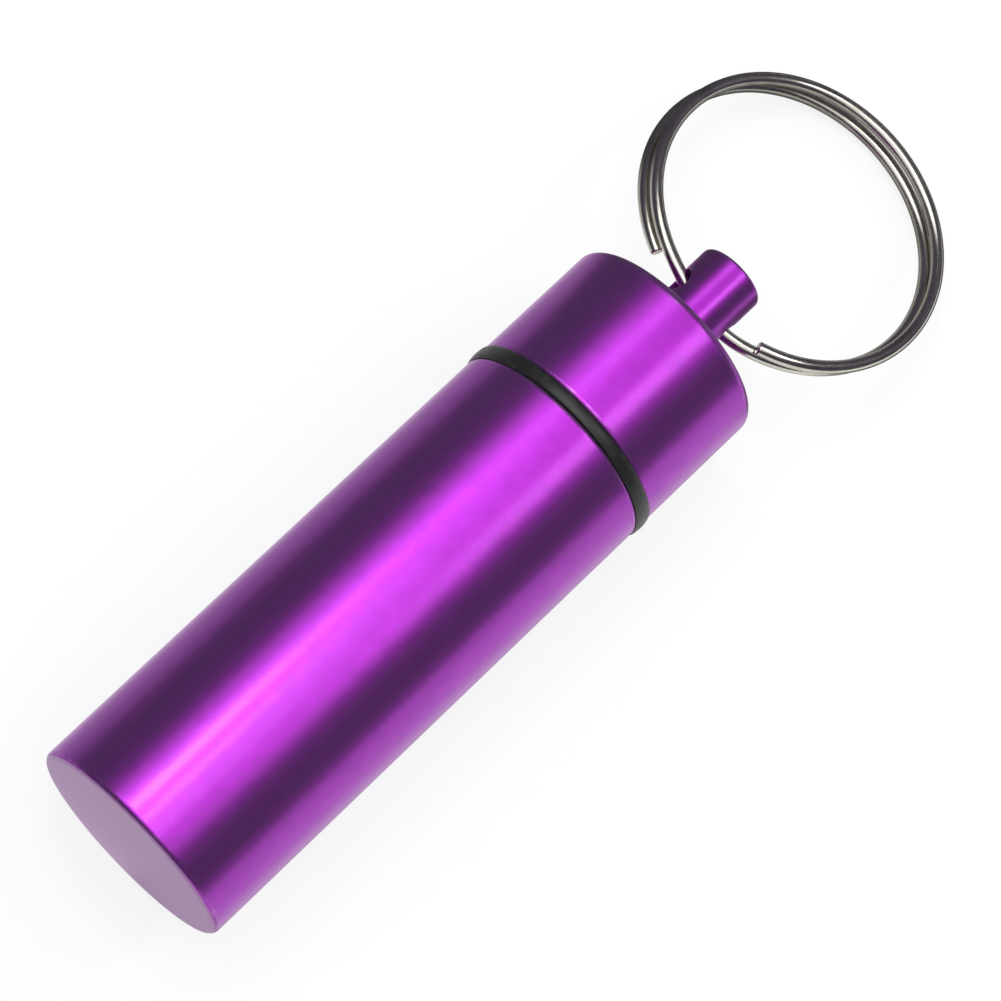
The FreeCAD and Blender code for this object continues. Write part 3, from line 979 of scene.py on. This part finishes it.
def make_lamp(name, leans, swings, distance, level, tint):
    """Soft rectangular lamp. Level is its brightness, where 1 is white."""
    lamp = bpy.data.lights.new(name, "AREA")
    lamp.shape = "RECTANGLE"
    place, lamp.size, lamp.size_y = facing_place(leans, swings, distance)
    lamp.energy = level * math.pi * lamp.size * lamp.size_y
    lamp.color = tint
    thing = bpy.data.objects.new(name, lamp)
    thing.matrix_world = place
    bpy.context.scene.collection.objects.link(thing)


def make_dim_card(leans, swings, distance, level):
    """Grey card over the cap, which only mirrors see."""
    place, width, height = facing_place(leans, swings, distance)
    corners = np.array([[-1, -1], [1, -1], [1, 1], [-1, 1]]) * np.array([width, height]) / 2
    points = np.array([place @ Vector((*corner, 0)) for corner in corners])
    card = stage_mesh("dim_card", points, np.array([[0, 1, 2, 3]]), glowing("grey_card", (level,) * 3))
    mirrored_only(card)


def make_world():
    """Even light, and plain white where the world is seen."""
    world = bpy.data.worlds.new("studio")
    bpy.context.scene.world = world
    world.use_nodes = True
    tree = world.node_tree
    tree.nodes.clear()
    level = ranged(tree, seen_share(tree), 0.0, 1.0, WORLD_LEVEL, 1.0)
    sky = new_node(tree, "ShaderNodeBackground", {"Color": (1, 1, 1, 1), "Strength": level})
    new_node(tree, "ShaderNodeOutputWorld", {"Surface": sky.outputs["Background"]})


def make_camera(place):
    """Camera that looks at the aim point from an azimuth and elevation, turned by the roll."""
    azimuth, elevation, roll = place.azimuth, place.elevation, place.roll
    back = Vector((
        math.sin(azimuth) * math.cos(elevation),
        -math.cos(azimuth) * math.cos(elevation),
        math.sin(elevation),
    ))
    level = Vector((math.cos(azimuth), math.sin(azimuth), 0))
    rise = back.cross(level)
    right = level * math.cos(roll) + rise * math.sin(roll)
    up = rise * math.cos(roll) - level * math.sin(roll)
    lens = bpy.data.cameras.new("photo_camera")
    lens.lens = place.lens
    lens.sensor_width = SENSOR_WIDTH
    lens.clip_start = NEAR_LIMIT
    camera = bpy.data.objects.new("photo_camera", lens)
    rotation = Matrix((right, up, back)).transposed().to_4x4()
    aim = Vector((place.aim_along, -place.aim_beside, 0))
    camera.matrix_world = Matrix.Translation(aim + back * place.distance) @ rotation
    bpy.context.scene.collection.objects.link(camera)
    bpy.context.scene.camera = camera


class FOB_OT_stage(bpy.types.Operator):
    """Make the floor, the surround, the lamps, the world and the camera"""

    bl_idname = "fob.stage"
    bl_label = "Stage"

    def execute(self, context):
        scene = context.scene
        scene.view_settings.view_transform = "Standard"
        make_floor(scene.fob_colours)
        make_surround(scene.fob_colours)
        make_apron()
        for name, lamp in LAMPS.items():
            make_lamp(name, *lamp)
        make_dim_card(*DIM_CARD)
        make_world()
        make_camera(scene.fob_stage)
        return {"FINISHED"}


class FOB_PT_panel(bpy.types.Panel):
    """Sizes, colours and makers of the pill fob"""

    bl_idname = "FOB_PT_panel"
    bl_label = "Pill Fob"
    bl_space_type = "VIEW_3D"
    bl_region_type = "UI"
    bl_category = "Pill Fob"

    def draw(self, context):
        for maker in MAKERS:
            self.layout.operator(maker.bl_idname)
        for group in GROUPS:
            box = self.layout.box()
            settings = getattr(context.scene, group)
            for name in settings.__annotations__:
                box.prop(settings, name)


MAKERS = (FOB_OT_container, FOB_OT_seal, FOB_OT_cap, FOB_OT_split_ring, FOB_OT_stage)
GROUPS = {
    "fob_turned": FobTurnedSizes,
    "fob_thread": FobThreadSizes,
    "fob_ring": FobRingSizes,
    "fob_colours": FobColours,
    "fob_stage": FobStageSizes,
}


def register():
    for kind in (*GROUPS.values(), *MAKERS, FOB_PT_panel):
        bpy.utils.register_class(kind)
    for name, kind in GROUPS.items():
        setattr(bpy.types.Scene, name, PointerProperty(type=kind))


def unregister():
    for name in GROUPS:
        delattr(bpy.types.Scene, name)
    for kind in reversed((*GROUPS.values(), *MAKERS, FOB_PT_panel)):
        bpy.utils.unregister_class(kind)


def main():
    register()
    bpy.ops.fob.container()
    bpy.ops.fob.seal()
    bpy.ops.fob.cap()
    bpy.ops.fob.split_ring()
    bpy.ops.fob.stage()


if __name__ == "__main__":
    main()
